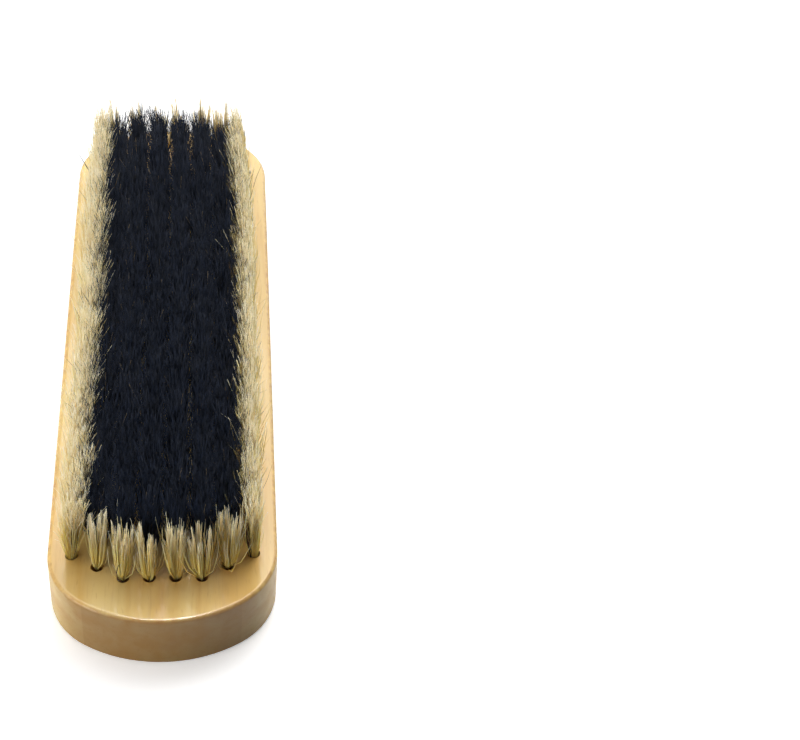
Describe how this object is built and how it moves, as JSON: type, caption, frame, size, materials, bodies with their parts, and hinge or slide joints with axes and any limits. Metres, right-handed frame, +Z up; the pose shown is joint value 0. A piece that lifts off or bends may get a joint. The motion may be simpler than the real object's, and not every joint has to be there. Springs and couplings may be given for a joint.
{
  "type": "shoe shine brush",
  "caption": "Shoe shine brush: lacquered wooden block with finger grooves, filled with black hair tufts inside a border of pale ones, each held in its hole by a wire anchor.",
  "frame": {"origin": "centre of the flat back, on the surface that the brush lies on", "axes": "+Z up, the way the hair points; +Y along the length towards the rear end; +X across the width"},
  "size_m": [0.05, 0.17, 0.035],
  "materials": {
    "lacquered_wood": "clear gloss lacquer over pale wood, grain lengthwise",
    "pale_hair": "undyed blond hair, yellower at the root and paler at the tip",
    "black_hair": "blue-black dyed hair with a soft sheen",
    "anchor_wire": "bright flat wire"
  },
  "bodies": {
    "root": {"handle_block": "lacquered_wood", "pale_tufts_left_row": "pale_hair", "pale_tufts_right_row": "pale_hair", "pale_tufts_front_end": "pale_hair", "pale_tufts_rear_end": "pale_hair", "black_tufts_row_1": "black_hair", "black_tufts_row_2": "black_hair", "black_tufts_row_3": "black_hair", "black_tufts_row_4": "black_hair", "black_tufts_row_5": "black_hair", "black_tufts_row_6": "black_hair", "pale_anchors_left_row": "anchor_wire", "pale_anchors_right_row": "anchor_wire", "pale_anchors_front_end": "anchor_wire", "pale_anchors_rear_end": "anchor_wire", "black_anchors_row_1": "anchor_wire", "black_anchors_row_2": "anchor_wire", "black_anchors_row_3": "anchor_wire", "black_anchors_row_4": "anchor_wire", "black_anchors_row_5": "anchor_wire", "black_anchors_row_6": "anchor_wire"}
  },
  "joints": []
}
